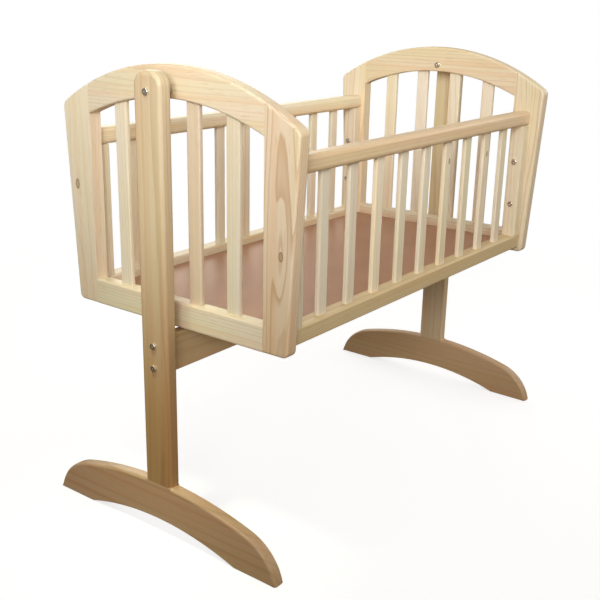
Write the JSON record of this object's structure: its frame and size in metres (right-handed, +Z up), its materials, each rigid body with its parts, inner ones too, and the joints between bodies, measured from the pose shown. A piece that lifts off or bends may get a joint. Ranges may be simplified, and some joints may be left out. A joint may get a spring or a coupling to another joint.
{
  "type": "baby cradle",
  "caption": "Slatted wooden baby crib with arched end panels that swings on two pivots between uprights on curved feet, joined by a stretcher board.",
  "frame": {"origin": "on the floor, under the middle of the crib", "axes": "+X along the crib's length and the swing axis, +Y across it, +Z up"},
  "size_m": [1.074, 0.578, 0.882],
  "materials": {
    "crib_pine": "clear satin lacquer on pine",
    "stand_pine": "clear satin lacquer on pine",
    "raw_pine": "sawn pine, thin lacquer",
    "base_panel": "reddish-brown board, low sheen",
    "dowel_beech": "bare beech",
    "zinc_steel": "bright zinc plate",
    "brass": "bright",
    "nylon": "natural nylon"
  },
  "bodies": {
    "stand": {"left_upright": "stand_pine", "left_foot": "stand_pine", "right_upright": "stand_pine", "right_foot": "stand_pine", "stretcher": "stand_pine", "stretcher_bolts": "zinc_steel", "stretcher_barrel_nuts": "zinc_steel", "foot_dowels": "dowel_beech", "pivot_bolts": "zinc_steel", "pivot_sleeve_nuts": "zinc_steel", "pivot_spacers": "nylon"},
    "crib": {"left_end_front_post": "crib_pine", "left_end_back_post": "crib_pine", "left_end_arch_rail": "crib_pine", "left_end_bottom_rail": "crib_pine", "left_end_slat_1": "crib_pine", "left_end_slat_2": "crib_pine", "left_end_slat_3": "crib_pine", "left_end_slat_4": "crib_pine", "right_end_front_post": "crib_pine", "right_end_back_post": "crib_pine", "right_end_arch_rail": "crib_pine", "right_end_bottom_rail": "crib_pine", "right_end_slat_1": "crib_pine", "right_end_slat_2": "crib_pine", "right_end_slat_3": "crib_pine", "right_end_slat_4": "crib_pine", "front_side_top_rail": "crib_pine", "front_side_bottom_rail": "crib_pine", "front_side_left_stile": "crib_pine", "front_side_right_stile": "crib_pine", "front_side_slat_1": "crib_pine", "front_side_slat_2": "crib_pine", "front_side_slat_3": "crib_pine", "front_side_slat_4": "crib_pine", "front_side_slat_5": "crib_pine", "front_side_slat_6": "crib_pine", "front_side_slat_7": "crib_pine", "front_side_slat_8": "crib_pine", "front_side_slat_9": "crib_pine", "front_ledger": "raw_pine", "back_side_top_rail": "crib_pine", "back_side_bottom_rail": "crib_pine", "back_side_left_stile": "crib_pine", "back_side_right_stile": "crib_pine", "back_side_slat_1": "crib_pine", "back_side_slat_2": "crib_pine", "back_side_slat_3": "crib_pine", "back_side_slat_4": "crib_pine", "back_side_slat_5": "crib_pine", "back_side_slat_6": "crib_pine", "back_side_slat_7": "crib_pine", "back_side_slat_8": "crib_pine", "back_side_slat_9": "crib_pine", "back_ledger": "raw_pine", "base_board": "base_panel", "pivot_bushes": "brass", "side_bolts": "zinc_steel", "side_inserts": "brass", "panel_dowels": "dowel_beech"}
  },
  "joints": [
    {"name": "crib_swing", "type": "hinge", "parent": "stand", "child": "crib", "pos_m": [0, 0, 0.84], "axis": [1, 0, 0], "range_deg": [-8, 8]}
  ]
}
